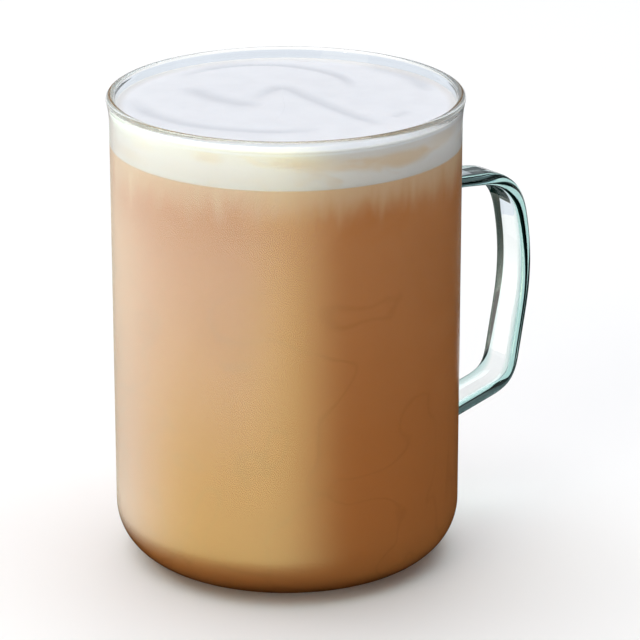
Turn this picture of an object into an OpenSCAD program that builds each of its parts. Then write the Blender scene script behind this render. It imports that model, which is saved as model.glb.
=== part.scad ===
// Latte in a straight glass mug with a strap handle.
// The mug stands on the XY plane with its axis on Z, and the handle lies along +X.

/* [Glass] */
// Height of the mug from the table to the top of the lip
mug_h = 115; // [95:1:140]
// Outer diameter of the straight body
body_d = 83.6; // [68:0.2:102]
// Thickness of the side wall
wall = 2.2; // [1.6:0.1:3.4]
// Thickness of the base
base_t = 4; // [3:0.5:8]
// Radius of the outer corner between base and wall
corner_r = 13; // [9:1:18]
// Radius of the corner inside the cup
inner_corner_r = 10; // [4:1:15]

/* [Lip] */
// How far the lip stands out beyond the body
lip_flare = 0.7; // [0:0.1:1.5]
// Height of the stretch that leans out to the lip
flare_h = 9; // [5:1:16]
// Thickness of the rounded lip
lip_t = 2; // [1.4:0.1:3]

/* [Handle] */
// Width of the strap, around the mug
strap_w = 11; // [8:0.5:16]
// Thickness of the strap
strap_t = 3.4; // [2.6:0.1:5]
// Depth below the lip at which the middle of the strap leaves the wall
handle_drop = 30; // [24:1:40]
// Height above the table at which the middle of the strap meets the wall again
handle_foot = 22; // [18:1:30]
// Distance from the wall to the widest point of the handle, before it is rounded
handle_reach = 31.8; // [26:0.2:40]
// How far up the handle its widest point lies, as a share of the handle's height
belly_at = 0.587; // [0.45:0.001:0.65]
// Size of the broken long edges of the strap
edge_break = 0.8; // [0.4:0.1:1.1]
// Angle at which the top run falls away from the wall
top_fall = 5.5; // [0:0.5:10]
// Angle at which the bottom run rises away from the wall
foot_rise = 14; // [5:0.5:20]
// Lean of the upright above its widest point
upper_lean = 11; // [5:0.5:15]
// Lean of the upright below its widest point
lower_lean = 10.5; // [5:0.5:15]
// Bend radius at the top corner, on the middle of the strap
shoulder_r = 12; // [7:1:14]
// Bend radius of the upright at its widest point
belly_r = 60; // [30:5:90]
// Bend radius at the bottom corner
heel_r = 6; // [4:1:9]

/* [Drink] */
// Depth of the foam's edge below the top of the lip
foam_gap = 3; // [2.5:0.5:12]
// Depth of the foam layer at the glass
foam_h = 9; // [4:1:25]
// Rise of the foam from its edge to its middle
foam_crown = 0.5; // [0.2:0.1:1.2]

/* [Hidden] */
$fn = 96;
body_r = body_d / 2;
rim_r = body_r + lip_flare;
cup_r = body_r - wall;
mouth_r = rim_r - lip_t;
flare_z = mug_h - flare_h;
foam_z = mug_h - foam_gap;
coffee_z = foam_z - foam_h;
// Steps in the bowed top of the foam, and the largest turn in one step of a bend
crown_steps = 8;
bend_step = 5;

function toward(angle) = [cos(angle), sin(angle)];

// Where a line through p at angle a meets a line through q at angle b
function meet(p, a, q, b) =
    p + toward(a) * cross(q - p, toward(b)) / cross(toward(a), toward(b));

function heading(a, b) = atan2(b.y - a.y, b.x - a.x);

// The strap's middle line in the XZ plane, as the corners of its runs. Both ends lie in the wall.
wall_top = [body_r, mug_h - handle_drop];
wall_foot = [body_r, handle_foot];
belly = [body_r + handle_reach, handle_foot + belly_at * (wall_top.y - handle_foot)];
root = wall / 2;
corners = [
    wall_top - toward(-top_fall) * root,
    meet(wall_top, -top_fall, belly, 90 + upper_lean),
    belly,
    meet(wall_foot, foot_rise, belly, 270 - lower_lean),
    wall_foot - toward(foot_rise) * root,
];
last = len(corners) - 1;

// How far the strap turns downwards at a corner
function turn(i) = heading(corners[i - 1], corners[i]) - heading(corners[i], corners[i + 1]);

// The bend at the widest point takes at most what the corner bends leave of each half
belly_room = 0.95 * min(
    norm(corners[1] - belly) - shoulder_r * tan(turn(1) / 2),
    norm(corners[3] - belly) - heel_r * tan(turn(3) / 2));
bend_r = [0, shoulder_r, min(belly_r, belly_room / tan(turn(2) / 2)), heel_r, 0];

// How much of each run a bend takes up
function bend_reach(i) = bend_r[i] * tan(turn(i) / 2);

// Points of the strap's side at a distance out from its middle line: its two ends, and the
// bends, each an arc whose centre lies to the right of the way the strap runs
function bend(i, out) =
    let (way = heading(corners[i - 1], corners[i]),
         centre = corners[i] - toward(way) * bend_reach(i) + toward(way - 90) * bend_r[i],
         steps = ceil(turn(i) / bend_step))
    [for (k = [0:steps]) centre + toward(way + 90 - turn(i) * k / steps) * (bend_r[i] + out)];
function end_point(i, way, out) = corners[i] + toward(way + 90) * out;
function side(out) = concat(
    [end_point(0, heading(corners[0], corners[1]), out)],
    [for (i = [1:last - 1]) each bend(i, out)],
    [end_point(last, heading(corners[last - 1], corners[last]), out)]);
function reversed(list) = [for (i = [len(list) - 1:-1:0]) list[i]];

// One layer of the strap: its outline in the XZ plane, carried across its width
module strap_layer(width, thickness) {
    rotate([90, 0, 0]) linear_extrude(width, center = true)
        polygon(concat(side(thickness / 2), reversed(side(-thickness / 2))));
}

// The strap, with its long edges broken in two steps
module handle() {
    strap_layer(strap_w - 2 * edge_break, strap_t);
    strap_layer(strap_w - edge_break, strap_t - edge_break);
    strap_layer(strap_w, strap_t - 2 * edge_break);
}

// Half section of the mug's outside, with its lip as a round bead
module outer_profile() {
    bead = lip_t / 2;
    square([body_r - corner_r, corner_r]);
    intersection() {
        translate([body_r - corner_r, corner_r]) circle(corner_r);
        translate([body_r - corner_r, 0]) square([corner_r, corner_r]);
    }
    polygon([[0, corner_r], [body_r, corner_r], [body_r, flare_z], [rim_r, mug_h - bead], [0, mug_h - bead]]);
    translate([rim_r - bead, mug_h - bead]) circle(bead);
}

// Half section of the space inside the cup, up to a given height
module cup_profile(top) {
    floor_r = cup_r - inner_corner_r;
    bend_z = base_t + inner_corner_r;
    translate([0, base_t]) square([floor_r, inner_corner_r]);
    intersection() {
        translate([floor_r, bend_z]) circle(inner_corner_r);
        translate([floor_r, base_t]) square([inner_corner_r, inner_corner_r]);
    }
    intersection() {
        polygon([[0, bend_z], [cup_r, bend_z], [cup_r, flare_z], [mouth_r, mug_h - lip_t / 2],
            [mouth_r, mug_h + lip_t], [0, mug_h + lip_t]]);
        translate([0, bend_z]) square([rim_r, top - bend_z]);
    }
}

// Clear glass mug with its handle drawn on, one piece of glass
module mug() {
    color([0.80, 0.89, 0.87, 0.45]) difference() {
        union() {
            rotate_extrude() outer_profile();
            handle();
        }
        rotate_extrude() cup_profile(mug_h + lip_t);
    }
}

// Milky coffee, from the floor of the cup up to the foam
module coffee() {
    color([0.72, 0.50, 0.31]) rotate_extrude() cup_profile(coffee_z);
}

// Half section of the foam: a slice of the cup whose top rises in a flat bow to the middle
module foam_profile() {
    bow = [for (i = [0:crown_steps])
        let (u = i / crown_steps) [cup_r * u, foam_z + foam_crown * (1 - u * u)]];
    intersection() {
        cup_profile(mug_h);
        polygon(concat([[0, coffee_z]], bow, [[rim_r, foam_z], [rim_r, coffee_z]]));
    }
}

// Milk foam that floats on the coffee
module foam() {
    color([0.93, 0.94, 0.97]) rotate_extrude() foam_profile();
}

mug();
coffee();
foam();
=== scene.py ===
"""A latte in its glass mug: clear glass with a strap handle, milky coffee, and milk foam on top."""
import math

import bmesh
import bpy
import numpy as np
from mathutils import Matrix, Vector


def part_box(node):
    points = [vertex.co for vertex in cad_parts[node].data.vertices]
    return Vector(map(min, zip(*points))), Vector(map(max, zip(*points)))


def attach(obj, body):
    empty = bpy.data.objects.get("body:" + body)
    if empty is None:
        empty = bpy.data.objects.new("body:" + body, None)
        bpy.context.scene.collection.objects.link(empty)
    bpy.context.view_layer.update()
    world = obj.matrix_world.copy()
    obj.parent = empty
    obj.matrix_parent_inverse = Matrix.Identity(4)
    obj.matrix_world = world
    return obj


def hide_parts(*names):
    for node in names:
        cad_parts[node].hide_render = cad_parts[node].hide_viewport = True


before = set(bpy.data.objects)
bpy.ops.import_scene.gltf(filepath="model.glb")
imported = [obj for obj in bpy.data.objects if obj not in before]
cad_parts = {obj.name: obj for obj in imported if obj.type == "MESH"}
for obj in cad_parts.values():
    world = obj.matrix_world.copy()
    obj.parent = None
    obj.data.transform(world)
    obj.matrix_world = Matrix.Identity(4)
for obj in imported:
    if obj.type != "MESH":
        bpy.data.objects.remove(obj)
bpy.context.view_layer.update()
MM = 0.001

# ---------------------------------------------------------------- camera, floor and lights
# The mug stands on a pale table, seen from a little above its lip, with the handle to the
# right and turned away. A wide soft light hangs overhead and a smaller one stands front left.

HANDLE_TURN = math.radians(37.5)  # how far the handle points away from the viewer
VIEW_DISTANCE = 0.8
VIEW_HEIGHT = 0.3392
VIEW_PITCH = math.radians(19.37)
VIEW_YAW = math.radians(0.577)  # turned to the right, to take in the handle


def around(azimuth, distance, height):
    """A place round the mug: azimuth in degrees from the viewer, positive to the viewer's right."""
    a = math.radians(azimuth) - HANDLE_TURN
    return (math.sin(a) * distance, -math.cos(a) * distance, height)


scene = bpy.context.scene
camera = bpy.data.objects.new("camera", bpy.data.cameras.new("camera"))
camera.data.lens = 197.66
camera.data.sensor_width = 36
camera.data.clip_start = 0.01
camera.location = around(0, VIEW_DISTANCE, VIEW_HEIGHT)
camera.rotation_euler = (math.pi / 2 - VIEW_PITCH, 0, -HANDLE_TURN - VIEW_YAW)
scene.collection.objects.link(camera)
scene.camera = camera
scene.view_settings.view_transform = "Standard"


class Wire:
    """A shader socket that Python's + - * / act on, each adding one Math node."""

    def __init__(self, tree, socket):
        self.tree = tree
        self.socket = socket

    def make(self, kind, settings=None, inputs=None, out=0):
        """Any other node: its type, its settings, and a value or wire for each socket."""
        node = self.tree.nodes.new(kind)
        for name, value in (settings or {}).items():
            setattr(node, name, value)
        for name, value in (inputs or {}).items():
            if isinstance(value, Wire):
                self.tree.links.new(value.socket, node.inputs[name])
            else:
                node.inputs[name].default_value = value
        return Wire(self.tree, node.outputs[out])

    def math(self, operation, *values):
        """One Math node that works on the given values or wires."""
        return self.make("ShaderNodeMath", {"operation": operation}, dict(enumerate(values)))

    def __add__(self, other):
        return self.math("ADD", self, other)

    def __sub__(self, other):
        return self.math("SUBTRACT", self, other)

    def __rsub__(self, other):
        return self.math("SUBTRACT", other, self)

    def __mul__(self, other):
        return self.math("MULTIPLY", self, other)

    def __truediv__(self, other):
        return self.math("DIVIDE", self, other)

    __radd__ = __add__
    __rmul__ = __mul__

    def step(self, low, high, start=0.0, end=1.0):
        """Goes smoothly from start to end as this value goes from low to high."""
        ease = {"interpolation_type": "SMOOTHSTEP"}
        return self.make("ShaderNodeMapRange", ease, {0: self, 1: low, 2: high, 3: start, 4: end})

    def noise(self, size_mm, detail=2.0, rough=0.5, warp=0.0):
        """Cloudy noise from 0 to 1 whose lumps are about size_mm across."""
        inputs = {"Vector": self, "Scale": 1 / (size_mm * MM), "Detail": detail}
        inputs.update({"Roughness": rough, "Distortion": warp})
        return self.make("ShaderNodeTexNoise", None, inputs)

    def tint(self, first, second):
        """Mixes two colours, with this value as the share of the second."""
        return self.make("ShaderNodeMix", {"data_type": "RGBA"}, {0: self, 6: first, 7: second}, 2)


def light_path(tree, output):
    """One of the outputs that tell how a ray came here."""
    return Wire(tree, tree.nodes.new("ShaderNodeLightPath").outputs[output])


def new_material(name):
    """An empty material and the wire of its object coordinates."""
    mat = bpy.data.materials.new(name)
    mat.use_nodes = True
    mat.node_tree.nodes.clear()
    tree = mat.node_tree
    place = Wire(tree, tree.nodes.new("ShaderNodeTexCoord").outputs["Object"])
    return mat, place


def finish_material(mat, surface, volume=None):
    """Joins a shader to the material's output."""
    output = mat.node_tree.nodes.new("ShaderNodeOutputMaterial")
    mat.node_tree.links.new(surface.socket, output.inputs["Surface"])
    if volume is not None:
        mat.node_tree.links.new(volume.socket, output.inputs["Volume"])


def add_mesh(name, verts, faces, mat, smooth=True):
    """A mesh object from vertices in mm and faces given as arrays of vertex numbers."""
    mesh = bpy.data.meshes.new(name)
    loops = np.concatenate([f.ravel() for f in faces]).astype(np.int32)
    sizes = np.concatenate([np.full(len(f), f.shape[1]) for f in faces]).astype(np.int32)
    mesh.vertices.add(len(verts))
    mesh.vertices.foreach_set("co", (np.asarray(verts) * MM).astype(np.float32).ravel())
    mesh.loops.add(len(loops))
    mesh.loops.foreach_set("vertex_index", loops)
    mesh.polygons.add(len(sizes))
    mesh.polygons.foreach_set("loop_start", np.concatenate([[0], np.cumsum(sizes)[:-1]]).astype(np.int32))
    mesh.polygons.foreach_set("use_smooth", np.full(len(sizes), smooth))
    mesh.update(calc_edges=True)
    mesh.validate()
    mesh.materials.append(mat)
    thing = bpy.data.objects.new(name, mesh)
    scene.collection.objects.link(thing)
    return thing


table_paint, spot = new_material("table")
finish_material(
    table_paint,
    spot.make("ShaderNodeBsdfPrincipled", None, {
        "Base Color": spot.noise(400, 2).tint((0.90, 0.90, 0.90, 1), (0.93, 0.93, 0.93, 1)),
        "Roughness": 0.7,
        "Specular IOR Level": 0.0,
    }),
)
TABLE_HALF = 4000
corner = np.array([[-1, -1, 0], [1, -1, 0], [1, 1, 0], [-1, 1, 0]]) * TABLE_HALF
add_mesh("table", corner, [np.array([[0, 1, 2, 3]])], table_paint)

world = bpy.data.worlds.new("studio")
scene.world = world
world.use_nodes = True
world.node_tree.nodes.clear()
room = Wire(world.node_tree, None)
seen = light_path(world.node_tree, "Is Camera Ray")
ROOM_DIM = (0.17, 0.175, 0.185, 1)
ROOM_SEEN = (0.88, 0.88, 0.88, 1)
sky = room.make("ShaderNodeBackground", None, {"Color": seen.tint(ROOM_DIM, ROOM_SEEN)})
world_out = world.node_tree.nodes.new("ShaderNodeOutputWorld")
world.node_tree.links.new(sky.socket, world_out.inputs["Surface"])


def soft_light(name, place, aim, width, height, power, colour):
    """An area light at place, facing aim, that the camera itself doesn't see."""
    lamp = bpy.data.lights.new(name, "AREA")
    lamp.shape = "RECTANGLE"
    lamp.size = width
    lamp.size_y = height
    lamp.energy = power
    lamp.color = colour
    thing = bpy.data.objects.new(name, lamp)
    thing.location = place
    away = np.array(place) - np.array(aim)
    thing.rotation_euler = (
        math.atan2(math.hypot(away[0], away[1]), away[2]),
        0,
        math.atan2(away[1], away[0]) + math.pi / 2,
    )
    thing.visible_camera = False
    scene.collection.objects.link(thing)
    return thing


MUG_MIDDLE = (0, 0, 0.06)
soft_light("overhead", around(-150, 0.5, 2.3), MUG_MIDDLE, 2.4, 2.4, 65, (0.98, 0.985, 1.0))
soft_light("front_left", around(-42, 1.0, 0.6), MUG_MIDDLE, 0.7, 0.8, 1.8, (1.0, 0.93, 0.68))
soft_light("right", around(66, 1.0, 0.5), MUG_MIDDLE, 0.6, 0.8, 0.4, (1.0, 0.99, 0.97))
GLINTS = [(-46, 0.06), (-32, 0.035), (51, 0.05)]
for azimuth, width in GLINTS:
    soft_light("glint_%d" % azimuth, around(azimuth, 1.2, 0.95), MUG_MIDDLE, width, 0.05, 0.35, (1, 1, 1))


def reflector(name, verts, faces, paint):
    """A card lying just over the table that lights nothing and that the camera doesn't see."""
    card = add_mesh(name, verts, faces, paint)
    card.visible_camera = False
    card.visible_diffuse = False
    card.visible_shadow = False
    return card


# What the mug's upright wall mirrors: a card round its foot, bright and warm on the left and in
# front, paler further out, and fading away on the right and behind.

CARD_INNER = 34
CARD_OUTER = 480
CARD_BANDS = 12
CARD_HEIGHT = 0.8
CARD_STRENGTH = 8.8
WALL_RADIUS = 0.0418
warm_paint, spot = new_material("warm_card")
across = spot.make("ShaderNodeVectorMath", {"operation": "DOT_PRODUCT"},
                   {0: spot, 1: around(90, 1, 0)}, 1)
along = spot.make("ShaderNodeVectorMath", {"operation": "DOT_PRODUCT"},
                  {0: spot, 1: around(0, 1, 0)}, 1)
distance = spot.make("ShaderNodeVectorMath", {"operation": "LENGTH"}, {0: spot}, 1)
# The wall that mirrors a place lies at half its bearing, nearer to the viewer by its own width
angle = across.math("ARCTAN2", across, along)
nearer = (angle * 0.5).math("SINE", angle * 0.5) * WALL_RADIUS / distance
bearing = (angle + nearer.math("ARCSINE", nearer)) * (180 / math.pi)
right_fade = bearing.step(-14, 42, 1, 0)
left_fade = bearing.step(-172, -72, 0.10, 1)
foot_fade = distance.step(0.040, 0.068)
far_fade = distance.step(0.325, 0.36, 1, 0.5)
near_fade = distance.step(0.07, 0.30, 0.78, 1)
near_tone = distance.step(0.09, 0.28).tint((1.0, 0.94, 0.40, 1), (0.97, 1.0, 0.84, 1))
right_tone = bearing.step(-40, 10).tint(near_tone, (1.0, 0.94, 0.42, 1))
side_tone = bearing.step(-135, -50).tint((0.86, 0.96, 0.84, 1), right_tone)
card_tone = distance.step(0.32, 0.35).tint(side_tone, (1.0, 0.93, 0.88, 1))
finish_material(warm_paint, spot.make("ShaderNodeEmission", None, {
    "Color": card_tone,
    "Strength": right_fade * left_fade * far_fade * foot_fade * near_fade * CARD_STRENGTH,
}))
turns = np.linspace(-180, 180, 73)
card_rim = np.array([around(t, 1, 0) for t in turns])
card_r = np.geomspace(CARD_INNER, CARD_OUTER, CARD_BANDS + 1)[:, None, None]
card_verts = (card_rim[None] * card_r).reshape(-1, 3) + [0, 0, CARD_HEIGHT]
band, sector = np.meshgrid(np.arange(CARD_BANDS), np.arange(len(turns) - 1), indexing="ij")
first = band * len(turns) + sector
card_faces = np.stack([first, first + len(turns), first + len(turns) + 1, first + 1], 2).reshape(-1, 4)
reflector("warm_card", card_verts, [card_faces], warm_paint).visible_transmission = False

# Black cards just outside the view, which give clear glass its dark edges. A window between
# them leaves the pale table showing through the flat of the handle and the back of the lip.
# Light on its way to the drink or the foam passes through them.

black_paint, spot = new_material("black_card")
bounces = light_path(black_paint.node_tree, "Diffuse Depth")
black = spot.make("ShaderNodeEmission", None, {"Color": (0.004, 0.016, 0.014, 1)})
opened = spot.make("ShaderNodeBsdfTransparent")
lit_by_drink = bounces.math("GREATER_THAN", bounces, 0.5)
finish_material(
    black_paint,
    spot.make("ShaderNodeMixShader", None, {0: lit_by_drink, 1: black, 2: opened}),
)
WINDOW = [(-75, 85), (50, 275)]  # to the viewer's right, and away from the viewer
FAR = 3000
grid_x = [-FAR, WINDOW[0][0], WINDOW[0][1], FAR]
grid_y = [-FAR, WINDOW[1][0], WINDOW[1][1], FAR]
black_verts = np.array([
    np.array(around(90, 1, 0)) * x - np.array(around(0, 1, 0)) * y for y in grid_y for x in grid_x])
BLACK_HEIGHT = 1.0
black_verts[:, 2] = BLACK_HEIGHT
cells = [c for c in range(11) if c % 4 < 3 and c not in (5, 9)]
black_faces = np.array([[c, c + 1, c + 5, c + 4] for c in cells])
reflector("black_card", black_verts, [black_faces], black_paint).visible_glossy = False

# The back of the lip has a milky blue card behind it, as pale as the foam

blue_paint, spot = new_material("milky_card")
finish_material(blue_paint, spot.make("ShaderNodeEmission", None, {"Color": (0.80, 0.84, 0.92, 1)}))
blue_verts = black_verts[[9, 10, 14, 13]]
reflector("milky_card", blue_verts, [np.array([[0, 1, 2, 3]])], blue_paint).visible_glossy = False

# ---------------------------------------------------------------- mug
# A straight mug of clear pressed and fire-polished glass, with its strap handle drawn on hot,
# so that both ends run out into the wall in a small round. One closed skin of glass.

mug_low, mug_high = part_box("mug")
MUG_H = mug_high.z / MM
RIM_R = (mug_high.y - mug_low.y) / 2 / MM
cup_low, cup_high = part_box("coffee")
CUP_R = (cup_high.y - cup_low.y) / 2 / MM
BASE_T = cup_low.z / MM
LIP_FLARE = 0.7
BODY_R = RIM_R - LIP_FLARE
FLARE_Z = MUG_H - 9
LIP_T = 2.0
MOUTH_R = RIM_R - LIP_T
BEAD = LIP_T / 2
CORNER_R = 13
INNER_CORNER_R = 10
COLUMNS = 288
HALF_COLUMNS = 9
HALF_ROWS = 5


def arc(centre_r, centre_z, radius, start, end, steps):
    """Points of a half section on a circle, from the start angle to the end angle in degrees."""
    a = np.radians(np.linspace(start, end, steps + 1))
    return np.stack([centre_r + radius * np.cos(a), centre_z + radius * np.sin(a)], 1)


def leaning_wall(r_low, r_high, z_low, z_high, steps):
    """A wall that is upright at z_low and leans out more and more, by the cube of the height."""
    s = np.linspace(0, 1, steps + 1)
    return np.stack([r_low + (r_high - r_low) * s**3, z_low + (z_high - z_low) * s], 1)


def straight(start, end, steps):
    """Evenly spaced points of a half section on a straight line."""
    s = np.linspace(0, 1, steps + 1)[:, None]
    return np.array(start) * (1 - s) + np.array(end) * s


def joined(parts):
    """Stretches of a half section joined end to end, with each shared point kept once."""
    return np.concatenate([parts[0]] + [p[1:] for p in parts[1:]])


def revolve(profile, columns):
    """Rings of points, one for each point of a half section, turned about the Z axis."""
    a = 2 * np.pi * np.arange(columns) / columns
    r, z = profile[:, 0][:, None], profile[:, 1][:, None]
    return np.stack([r * np.cos(a), r * np.sin(a), z + 0 * a], 2).reshape(-1, 3)


def ring_faces(rows, columns, first=0):
    """Quads between neighbouring rings, as an array of rows - 1 by columns by four."""
    j, i = np.meshgrid(np.arange(rows - 1), np.arange(columns), indexing="ij")
    i2 = (i + 1) % columns
    low, high = j * columns, (j + 1) * columns
    return first + np.stack([low + i, low + i2, high + i2, high + i], 2)


def cap_faces(ring, pole, columns):
    """Triangles from one ring of points to a pole point."""
    i = np.arange(columns)
    return np.stack([ring + i, ring + (i + 1) % columns, np.full(columns, pole)], 1)


WALL_ROWS = 104
outside = joined([
    straight((1, 0), (BODY_R - CORNER_R, 0), 10),
    arc(BODY_R - CORNER_R, CORNER_R, CORNER_R, -90, 0, 20),
    straight((BODY_R, CORNER_R), (BODY_R, FLARE_Z), WALL_ROWS),
    leaning_wall(BODY_R, RIM_R, FLARE_Z, MUG_H - BEAD, 12),
    arc(RIM_R - BEAD, MUG_H - BEAD, BEAD, 0, 90, 7),
])
inside = joined([
    arc(RIM_R - BEAD, MUG_H - BEAD, BEAD, 90, 180, 7),
    leaning_wall(CUP_R, MOUTH_R, FLARE_Z, MUG_H - BEAD, 12)[::-1],
    straight((CUP_R, FLARE_Z), (CUP_R, BASE_T + INNER_CORNER_R), 24),
    arc(CUP_R - INNER_CORNER_R, BASE_T + INNER_CORNER_R, INNER_CORNER_R, 0, -90, 12),
    straight((CUP_R - INNER_CORNER_R, BASE_T), (1, BASE_T), 6),
])
section = joined([outside, inside])
skin = revolve(section, COLUMNS)
skin_faces = ring_faces(len(section), COLUMNS)
poles = np.array([[0, 0, 0], [0, 0, BASE_T]])
pole_faces = [
    cap_faces(0, len(skin), COLUMNS),
    cap_faces((len(section) - 1) * COLUMNS, len(skin) + 1, COLUMNS),
]

STRAP_W = 11.0
STRAP_T_TOP = 2.9
STRAP_T = 3.4
HANDLE_DROP = 30
HANDLE_FOOT = 22
TOP_FALL = 5.5
FOOT_RISE = 14
UPPER_LEAN = 11
LOWER_LEAN = 10.5
BELLY_Z = HANDLE_FOOT + 37
BELLY_R = BODY_R + 31.8
ROOT_RUN = 5.5  # how far from the wall the strap takes its own section


def toward(angle):
    """A unit step in the handle's plane at an angle in degrees."""
    return np.array([math.cos(math.radians(angle)), math.sin(math.radians(angle))])


def meet(p, a, q, b):
    """Where the line through p at angle a meets the line through q at angle b."""
    da, db = toward(a), toward(b)
    gap = np.array(q) - np.array(p)
    return p + da * (gap[0] * db[1] - gap[1] * db[0]) / (da[0] * db[1] - da[1] * db[0])


def rounded_path(corners, radii, spacing):
    """A line through corners, each rounded by an arc, as evenly spaced points."""
    points = [corners[0]]
    for before, here, after, radius in zip(corners, corners[1:], corners[2:], radii):
        way_in = (here - before) / np.linalg.norm(here - before)
        way_out = (after - here) / np.linalg.norm(after - here)
        turn = math.acos(way_in @ way_out)
        inner_side = np.array([way_in[1], -way_in[0]])
        centre = here - way_in * radius * math.tan(turn / 2) + radius * inner_side
        start = math.atan2(-way_in[0], way_in[1]) + math.pi
        a = start - np.linspace(0, turn, 24)
        points += list(centre + radius * np.stack([np.cos(a), np.sin(a)], 1))
    points = np.array(points + [corners[-1]])
    run = np.concatenate([[0], np.cumsum(np.linalg.norm(np.diff(points, axis=0), axis=1))])
    even = np.linspace(0, run[-1], int(run[-1] / spacing) + 1)
    return np.stack([np.interp(even, run, points[:, i]) for i in (0, 1)], 1)


wall_top = np.array([BODY_R, MUG_H - HANDLE_DROP])
wall_foot = np.array([BODY_R, HANDLE_FOOT])
belly = np.array([BELLY_R, BELLY_Z])
strap_corners = [
    wall_top + toward(-TOP_FALL) * ROOT_RUN,
    meet(wall_top, -TOP_FALL, belly, 90 + UPPER_LEAN),
    belly,
    meet(wall_foot, FOOT_RISE, belly, 270 - LOWER_LEAN),
    wall_foot + toward(FOOT_RISE) * ROOT_RUN,
]
BEND_RADII = [12, 60, 6]
PATH_SPACING = 0.9
middle = rounded_path(strap_corners, BEND_RADII, PATH_SPACING)
EASE = 5
weights = np.hanning(2 * EASE + 3)[1:-1]
padded = np.concatenate([
    2 * middle[0] - middle[EASE:0:-1], middle, 2 * middle[-1] - middle[-2:-EASE - 2:-1]])
middle = np.stack([np.convolve(padded[:, i], weights / weights.sum(), "valid") for i in (0, 1)], 1)
way = np.gradient(middle, axis=0)
way /= np.linalg.norm(way, axis=1)[:, None]
out = np.stack([-way[:, 1], way[:, 0]], 1)

# The strap's section is a flat bar with full round edges. Its points are matched to the points
# round a window in the wall's grid, so that skin and strap share one net.
side = np.arange(-HALF_COLUMNS, HALF_COLUMNS)
rise = np.arange(-HALF_ROWS, HALF_ROWS)
right_edge = np.full(2 * HALF_ROWS, HALF_COLUMNS)
upper_edge = np.full(2 * HALF_COLUMNS, HALF_ROWS)
window_col = np.concatenate([side, right_edge, -side, -right_edge])
window_row = np.concatenate([-upper_edge, rise, upper_edge, -rise])
LOOP = len(window_col)
u, v = window_col / HALF_COLUMNS, window_row / HALF_ROWS


def strap_section(thickness):
    """Section points for an array of thicknesses: each point lies half a thickness out from the
    flat core line, along the ray that runs on to the matching point of a square."""
    half_t = np.asarray(thickness)[:, None] / 2
    core = STRAP_W / 2 - half_t
    x, y = u * STRAP_W / 2, v * half_t
    middle_x = np.clip(x, -core, core)
    ray = np.stack([x - middle_x, y], 2)
    ray /= np.linalg.norm(ray, axis=2)[:, :, None]
    return middle_x + half_t * ray[:, :, 0], half_t * ray[:, :, 1]


rings = len(middle)
share = np.linspace(0, 1, rings)
thick = STRAP_T_TOP + (STRAP_T - STRAP_T_TOP) * np.clip((share - 0.05) / 0.2, 0, 1)
wide, deep = strap_section(thick)
strap = np.stack([
    middle[:, 0, None] + out[:, 0, None] * deep,
    wide,
    middle[:, 1, None] + out[:, 1, None] * deep,
], 2)


def blend_rings(wall_points, root, strap_ring, strap_way, steps=12):
    """Rings that leave the wall along its face and join the strap along its run (a cubic
    between two points, with the direction given at each end)."""
    t = (np.arange(1, steps) / steps)[:, None, None]
    inward = root - wall_points
    inward[:, 0] = 0
    inward *= 4.2 / np.linalg.norm(inward, axis=1)[:, None]
    onward = np.array(strap_way) * 6.0
    return (
        (2 * t**3 - 3 * t**2 + 1) * wall_points + (t**3 - 2 * t**2 + t) * inward
        + (3 * t**2 - 2 * t**3) * strap_ring + (t**3 - t**2) * onward
    )


wall_first = int(np.argmax(section[:, 1] >= CORNER_R - 1e-6))


def wall_row(z):
    """The ring of the wall that lies nearest to a height."""
    return wall_first + int(round((z - CORNER_R) / (FLARE_Z - CORNER_R) * WALL_ROWS))


top_row, foot_row = wall_row(wall_top[1]), wall_row(wall_foot[1])
keep = np.ones(skin_faces.shape[:2], bool)
window_ids = []
for row, flip in ((top_row, 1), (foot_row, -1)):
    keep[row - HALF_ROWS:row + HALF_ROWS, :HALF_COLUMNS] = False
    keep[row - HALF_ROWS:row + HALF_ROWS, -HALF_COLUMNS:] = False
    window_ids.append((row + flip * window_row) * COLUMNS + window_col % COLUMNS)
top_wall, foot_wall = skin[window_ids[0]], skin[window_ids[1]]
top_root = np.array([BODY_R, 0, wall_top[1]])
foot_root = np.array([BODY_R, 0, wall_foot[1]])
top_blend = blend_rings(top_wall, top_root, strap[0], [way[0, 0], 0, way[0, 1]])
foot_blend = blend_rings(foot_wall, foot_root, strap[-1], [-way[-1, 0], 0, -way[-1, 1]])
tube = np.concatenate([top_blend, strap, foot_blend[::-1]]).reshape(-1, 3)
tube_first = len(skin) + len(poles)
tube_rows = len(tube) // LOOP
tube_faces = ring_faces(tube_rows, LOOP, tube_first).reshape(-1, 4)
q = np.arange(LOOP)
q2 = (q + 1) % LOOP
tube_last = tube_first + (tube_rows - 1) * LOOP
seam_faces = [
    np.stack([window_ids[0][q], window_ids[0][q2], tube_first + q2, tube_first + q], 1),
    np.stack([tube_last + q, tube_last + q2, window_ids[1][q2], window_ids[1][q]], 1),
]


def add_attribute(thing, name, values):
    """Gives each vertex of a mesh one number that its material can read by name."""
    attribute = thing.data.attributes.new(name, "FLOAT", "POINT")
    attribute.data.foreach_set("value", values.astype(np.float32))


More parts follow.
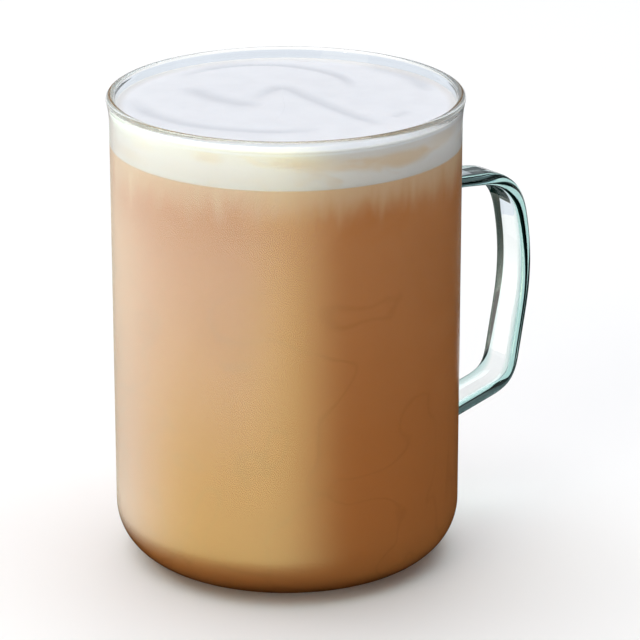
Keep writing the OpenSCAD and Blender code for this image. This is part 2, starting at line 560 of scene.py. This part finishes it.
glass, spot = new_material("clear_glass")
is_shadow = light_path(glass.node_tree, "Is Shadow Ray")
thickness = spot.make("ShaderNodeAttribute", {"attribute_name": "edge"}, None, 2)
HAZE_ROUGHNESS = 0.27  # softens what the upright wall mirrors
haze = spot.make("ShaderNodeAttribute", {"attribute_name": "haze"}, None, 2)
clear = spot.make("ShaderNodeBsdfPrincipled", None, {
    "Base Color": thickness.tint((0.99, 1.0, 0.995, 1), (0.50, 0.73, 0.70, 1)),
    "Roughness": haze * HAZE_ROUGHNESS,
    "IOR": 1.48,
    "Transmission Weight": 1.0,
})
gap_for_light = spot.make("ShaderNodeBsdfTransparent", None, {"Color": (0.93, 0.96, 0.955, 1)})
finish_material(
    glass,
    spot.make("ShaderNodeMixShader", None, {0: is_shadow, 1: clear, 2: gap_for_light}),
    spot.make("ShaderNodeVolumeAbsorption", None, {"Color": (0.45, 0.84, 0.82, 1), "Density": 14.0}),
)
mug = add_mesh(
    "glass_mug",
    np.concatenate([skin, poles, tube]),
    [skin_faces[keep], tube_faces] + seam_faces + pole_faces,
    glass,
)
# The strap's edges look deeper in colour, and the wall's outer face is a little less than clear
EDGE_START = 2.4
EDGE_WIDTH = 1.4
edge = np.clip((np.abs(wide) - (STRAP_W / 2 - EDGE_START)) / EDGE_WIDTH, 0, 1)
top_edge = np.repeat(edge[:1], len(top_blend), 0)
foot_edge = np.repeat(edge[-1:], len(foot_blend), 0)
edge = np.concatenate([top_edge, edge, foot_edge])
edge = np.concatenate([np.zeros(tube_first), edge.ravel()])
add_attribute(mug, "edge", edge)
wall_z = skin[:, 2]  # mm; the haze grows from the base's round and ends at the lip
haze_skin = np.clip((wall_z - 4) / 10, 0, 1) * np.clip((113 - wall_z) / 3, 0, 1)
haze_skin[len(outside) * COLUMNS:] = 0
haze_skin = np.concatenate([haze_skin, np.zeros(len(poles) + len(tube))])
add_attribute(mug, "haze", haze_skin)
net = bmesh.new()
net.from_mesh(mug.data)
loose = [p for p in net.verts if not p.link_faces]
bmesh.ops.delete(net, geom=loose, context="VERTS")
bmesh.ops.recalc_face_normals(net, faces=net.faces)
net.to_mesh(mug.data)
net.free()
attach(mug, "root")
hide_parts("mug")

# ---------------------------------------------------------------- coffee
# Espresso stirred through hot milk, up to the foam. It wets the glass, so its skin lies just
# inside the wall. Paler and streaked right under the foam; painted shade darkens the round of the base.

WETTED = 0.3  # how far a filling reaches into the wall
FILL_COLUMNS = 192
COFFEE_Z = cup_high.z / MM

TIGHT_DOWN = 0.06  # close rings on both sides of the upper rim keep its edge crisp
TIGHT_IN = 0.1
FILL_R = CUP_R + WETTED

coffee_section = joined([
    straight((1, BASE_T - WETTED), (CUP_R - INNER_CORNER_R, BASE_T - WETTED), 8),
    arc(CUP_R - INNER_CORNER_R, BASE_T + INNER_CORNER_R, INNER_CORNER_R + WETTED, -90, 0, 14),
    straight((FILL_R, BASE_T + INNER_CORNER_R), (FILL_R, COFFEE_Z - TIGHT_DOWN), 44),
    straight((FILL_R, COFFEE_Z - TIGHT_DOWN), (FILL_R, COFFEE_Z), 1),
    straight((FILL_R, COFFEE_Z), (FILL_R - TIGHT_IN, COFFEE_Z), 1),
    straight((FILL_R - TIGHT_IN, COFFEE_Z), (1, COFFEE_Z), 12),
])
coffee_skin = revolve(coffee_section, FILL_COLUMNS)
coffee_poles = np.array([[0, 0, BASE_T - WETTED], [0, 0, COFFEE_Z]])
coffee_faces = [
    ring_faces(len(coffee_section), FILL_COLUMNS).reshape(-1, 4),
    cap_faces(0, len(coffee_skin), FILL_COLUMNS)[:, ::-1],
    cap_faces((len(coffee_section) - 1) * FILL_COLUMNS, len(coffee_skin) + 1, FILL_COLUMNS),
]

latte, spot = new_material("milky_coffee")
height = spot.make("ShaderNodeSeparateXYZ", None, {0: spot}, 2) / MM
squeezed = spot.make("ShaderNodeMapping", None, {"Vector": spot, "Scale": (1, 1, 0.22)})
cloud = spot.noise(26, 2, 0.55, 0.6)
wisp = spot.noise(21, 1.5, 0.5, 0.9)
streak = squeezed.noise(4.5, 2, 0.5, 0.4)
COFFEE_LIGHT = (0.660, 0.285, 0.108, 1)
COFFEE_DEEP = (0.610, 0.230, 0.068, 1)
COFFEE_MILKY = (0.830, 0.620, 0.410, 1)
# The dark colour of the streaks, which also serves as painted shade in the round of the base
COFFEE_STREAK_AND_BASE_SHADE = (0.400, 0.150, 0.042, 1)
colour = height.step(20, 96).tint(COFFEE_DEEP, COFFEE_LIGHT)
colour = (cloud.step(0.42, 0.66) * 0.5).tint(colour, COFFEE_DEEP)
tendril = (wisp - 0.5).math("ABSOLUTE", wisp - 0.5).step(0.0, 0.035, 1, 0)
tendril = tendril * height.step(66, 92, 1, 0)
colour = (tendril * 0.20).tint(colour, COFFEE_STREAK_AND_BASE_SHADE)
milky = (height + streak * 12).step(COFFEE_Z - 4, COFFEE_Z + 7)
colour = (milky * 0.75).tint(colour, COFFEE_MILKY)
# Painted shade: the lowest few mm of the drink, in the round of the base, are darkened
colour = (height.step(2, 7, 1, 0) * 0.5).tint(colour, COFFEE_STREAK_AND_BASE_SHADE)
finish_material(latte, spot.make("ShaderNodeBsdfPrincipled", None, {
    "Base Color": colour,
    "Roughness": 0.5,
    "Specular IOR Level": 0.0,
}))
coffee = add_mesh("coffee_fill", np.concatenate([coffee_skin, coffee_poles]), coffee_faces, latte)
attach(coffee, "root")
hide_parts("coffee")

# ---------------------------------------------------------------- foam
# Fine milk foam spooned on and left to settle: a bowed top with soft laps and creases, its
# edge drawn up a little where it clings to the glass, and coffee smeared through its side.

foam_low, foam_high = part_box("foam")
FOAM_CROWN = 0.5
FOAM_Z = foam_high.z / MM - FOAM_CROWN
FOAM_RINGS = 118
FOAM_COLUMNS = 384
lean = (FOAM_Z - FLARE_Z) / (MUG_H - BEAD - FLARE_Z)
FOAM_R = CUP_R + (MOUTH_R - CUP_R) * lean**3 + WETTED


def flowing(points, count=90):
    """A smooth line through points: each coordinate runs on a cubic between neighbours, with
    the slope at a point taken from the points on both sides."""
    p = np.array(points, float)
    slope = np.gradient(p, axis=0)
    t = np.linspace(0, len(p) - 1, count)
    i = np.minimum(t.astype(int), len(p) - 2)
    f = (t - i)[:, None]
    return (
        (2 * f**3 - 3 * f**2 + 1) * p[i] + (f**3 - 2 * f**2 + f) * slope[i]
        + (3 * f**2 - 2 * f**3) * p[i + 1] + (f**3 - f**2) * slope[i + 1]
    )


def bowed(middle, radius, start, end, count=90):
    """A line along a circle about a middle, from the start angle to the end angle in degrees."""
    a = np.radians(np.linspace(start, end, count))
    return np.array(middle) + radius * np.stack([np.cos(a), np.sin(a)], 1)


# Soft creases in the foam, as seen by the viewer: x to the right, y away, in mm. Each has its
# line, its depth, its half width, and how much higher the foam lies on the left of its run.
creases = [
    (bowed((-6, 14), 22, 150, 0), 0.42, 1.5, 0.30),
    (bowed((8, 10), 26, 68, 2), 0.36, 2.0, 0.25),
    (bowed((4, 25), 29, 200, 252), 0.30, 3.0, -0.25),
    (flowing([(-8, 2), (-1, 14), (6, 4), (16, -10), (23, -18)]), 0.34, 1.9, 0.35),
    (flowing([(25, -12), (29, -6)]), 0.2, 1.4, 0.1),
    (bowed((-3, 11), 34, 190, 290), 0.34, 2.0, 0.30),
]


def crease_relief(x, y, line, depth, half_width, lap):
    """Height of one crease over a grid, and how much of that is groove: a rounded groove that
    fades out at both ends, beside a lap that dies away within a few widths."""
    gap = np.stack([x, y], 1)[:, None, :] - line[None, :, :]
    far = (gap**2).sum(2)
    near = far.argmin(1)
    distance = np.sqrt(far[np.arange(len(x)), near])
    run = np.gradient(line, axis=0)
    run /= np.linalg.norm(run, axis=1)[:, None]
    nearest = gap[np.arange(len(x)), near]
    left = np.sign(run[near, 0] * nearest[:, 1] - run[near, 1] * nearest[:, 0])
    to_end = np.minimum(near, len(line) - 1 - near) / (len(line) - 1)
    end_fade = np.clip(to_end / 0.2, 0.02, 1) ** 0.7
    groove = -depth * np.exp(-((distance / half_width) ** 2))
    die_away = np.exp(-distance / (4 * half_width))
    raised = lap * 0.5 * (1 + left * np.tanh(distance / half_width)) * die_away
    lapped = groove + raised - lap * 0.5 * die_away
    return lapped * end_fade, -groove * end_fade


def swell(x, y, seed, sizes, heights):
    """Slow uneven swells: a few sine waves in random directions, with given lengths in mm."""
    random = np.random.default_rng(seed)
    total = np.zeros_like(x)
    for size, amount in zip(sizes, heights):
        angle, phase = random.uniform(0, 2 * np.pi, 2)
        total += amount * np.sin(2 * np.pi * (x * np.cos(angle) + y * np.sin(angle)) / size + phase)
    return total


ring_r = FOAM_R * np.arange(1, FOAM_RINGS + 1) / FOAM_RINGS
turn = 2 * np.pi * np.arange(FOAM_COLUMNS) / FOAM_COLUMNS
rr, tt = np.meshgrid(ring_r, turn, indexing="ij")
gx, gy = (rr * np.cos(tt)).ravel(), (rr * np.sin(tt)).ravel()
cos_t, sin_t = math.cos(HANDLE_TURN), math.sin(HANDLE_TURN)
sx, sy = gx * cos_t - gy * sin_t, gx * sin_t + gy * cos_t
relief, crease_share = np.sum([crease_relief(sx, sy, *crease) for crease in creases], axis=0)
relief += swell(gx, gy, 4, [61, 43, 31, 23, 17], [0.10, 0.08, 0.06, 0.04, 0.02])
relief *= np.clip((FOAM_R - rr.ravel()) / 4, 0, 1) ** 0.7
top_z = FOAM_Z + FOAM_CROWN * (1 - (rr.ravel() / FOAM_R) ** 2) + relief
top_z += 0.55 * np.exp(-(FOAM_R - WETTED - rr.ravel()).clip(0) / 0.8)
foam_top = np.stack([gx, gy, top_z], 1)
side_z = np.append(np.linspace(FOAM_Z, COFFEE_Z + TIGHT_DOWN, 12), COFFEE_Z)
side_lean = (side_z - FLARE_Z).clip(0) / (MUG_H - BEAD - FLARE_Z)
side_r = CUP_R + WETTED + (MOUTH_R - CUP_R) * side_lean**3
under = straight((side_r[-1] - TIGHT_IN, COFFEE_Z), (1, COFFEE_Z), 12)
foam_side = revolve(np.concatenate([np.stack([side_r, side_z], 1), under]), FOAM_COLUMNS)
foam_verts = np.concatenate([foam_top, foam_side, [[0, 0, FOAM_Z + FOAM_CROWN], [0, 0, COFFEE_Z]]])
foam_rows = FOAM_RINGS + len(side_z) + len(under)
foam_faces = [
    ring_faces(foam_rows, FOAM_COLUMNS).reshape(-1, 4)[:, ::-1],
    cap_faces(0, len(foam_verts) - 2, FOAM_COLUMNS),
    cap_faces((foam_rows - 1) * FOAM_COLUMNS, len(foam_verts) - 1, FOAM_COLUMNS)[:, ::-1],
]

milk_foam, spot = new_material("milk_foam")
level = spot.make("ShaderNodeSeparateXYZ", None, {0: spot}, 2) / MM
FOAM_WHITE = (0.790, 0.805, 0.850, 1)
FOAM_SHADE = (0.765, 0.780, 0.825, 1)
# Colour of the painted shade along the bottoms of the foam's creases
FOAM_CREASE_SHADE = (0.62, 0.64, 0.69, 1)
FOAM_SIDE = (0.83, 0.80, 0.80, 1)
STAIN = (0.76, 0.56, 0.37, 1)
# Coffee smeared up the side of the foam: where it lies, as degrees to the viewer's right and
# height in mm, its half width and half height in mm, and how strong it is
SMEARS = [(-26, 110.5, 5, 2.6, 0.5), (14, 108.8, 12, 2.4, 0.45), (38, 108.2, 13, 2.6, 0.8),
          (62, 109.5, 9, 2.4, 0.4), (2, 109.6, 8, 1.8, 0.35), (-62, 105.5, 8, 2.2, 0.2),
          (140, 108.5, 14, 2.5, 0.5), (-130, 108, 12, 2.6, 0.45)]
colour = spot.noise(7, 3).step(0.35, 0.7).tint(FOAM_WHITE, FOAM_SHADE)
# Painted shade: the foam's colour is greyed along its creases, by how deep each point lies in one
crease_shade = spot.make("ShaderNodeAttribute", {"attribute_name": "crease_shade"}, None, 2)
colour = crease_shade.tint(colour, FOAM_CREASE_SHADE)
on_side = level.step(FOAM_Z - 1.0, FOAM_Z - 0.2, 1, 0)
flattened = spot.make("ShaderNodeMapping", None, {"Vector": spot, "Scale": (1, 1, 1.8)})
ragged = flattened.noise(9, 3, 0.55, 0.8)
stain = ragged.step(0.52, 0.75) * 0.35
for turned, high, wide_mm, tall_mm, amount in SMEARS:
    centre = (*(CUP_R * MM * c for c in around(turned, 1, 0)[:2]), high * MM)
    stretch = (1 / wide_mm, 1 / wide_mm, 1 / tall_mm)
    off = spot.make("ShaderNodeVectorMath", {"operation": "SUBTRACT"}, {0: spot, 1: centre})
    off = off.make("ShaderNodeVectorMath", {"operation": "MULTIPLY"}, {0: off, 1: stretch})
    reach = off.make("ShaderNodeVectorMath", {"operation": "LENGTH"}, {0: off}, 1) / MM
    reach = reach + (ragged - 0.5) * 1.2
    stain = stain + reach.step(0.2, 1.15, amount, 0)
side_colour = stain.math("MINIMUM", stain, 0.9).tint(FOAM_SIDE, STAIN)
# Painted shade: the top few mm of the foam's side, under the lip, are greyed
lip_shade = level.step(FOAM_Z - 4.5, FOAM_Z - 0.5)
side_colour = (lip_shade * 0.45).tint(side_colour, (0.56, 0.53, 0.52, 1))
colour = on_side.tint(colour, side_colour)
# A darker ring round the edge of the foam's top where it meets the glass: partly wet, coffee-tinted foam,
# partly painted shade from the rim
from_axis = spot.make("ShaderNodeVectorMath", {"operation": "MULTIPLY"}, {0: spot, 1: (1, 1, 0)})
from_axis = spot.make("ShaderNodeVectorMath", {"operation": "LENGTH"}, {0: from_axis}, 1) / MM
damp_and_rim_shade = from_axis.step(FOAM_R - 2.6, FOAM_R - 0.5) * level.step(FOAM_Z - 0.4, FOAM_Z)
colour = (damp_and_rim_shade * 0.4).tint(colour, (0.56, 0.52, 0.48, 1))
BUBBLE_MM = 0.9
bubbles = spot.make("ShaderNodeTexVoronoi", {"feature": "SMOOTH_F1"},
                    {"Vector": spot, "Scale": 1 / (BUBBLE_MM * MM)})
fine = spot.noise(0.5, 2)
bump = spot.make("ShaderNodeBump", None, {
    "Height": fine * 0.6 + bubbles * 0.4,
    "Strength": 0.12,
    "Distance": 0.0002,
})
finish_material(milk_foam, spot.make("ShaderNodeBsdfPrincipled", None, {
    "Base Color": colour,
    "Roughness": 0.38,
    "Specular IOR Level": 0.35,
    "Subsurface Weight": 0.35,
    "Subsurface Radius": (1.0, 0.9, 0.85),
    "Subsurface Scale": 0.003,
    "Normal": bump,
}))
foam = add_mesh("foam_layer", foam_verts, foam_faces, milk_foam)
# How deep each point of the top lies in a crease, which the foam's colour uses for painted shade
DEEPEST = 0.42
crease_shade_amount = np.zeros(len(foam_verts))
crease_shade_amount[:len(crease_share)] = np.clip(crease_share / DEEPEST, 0, 1)
add_attribute(foam, "crease_shade", crease_shade_amount)
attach(foam, "root")
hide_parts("foam")
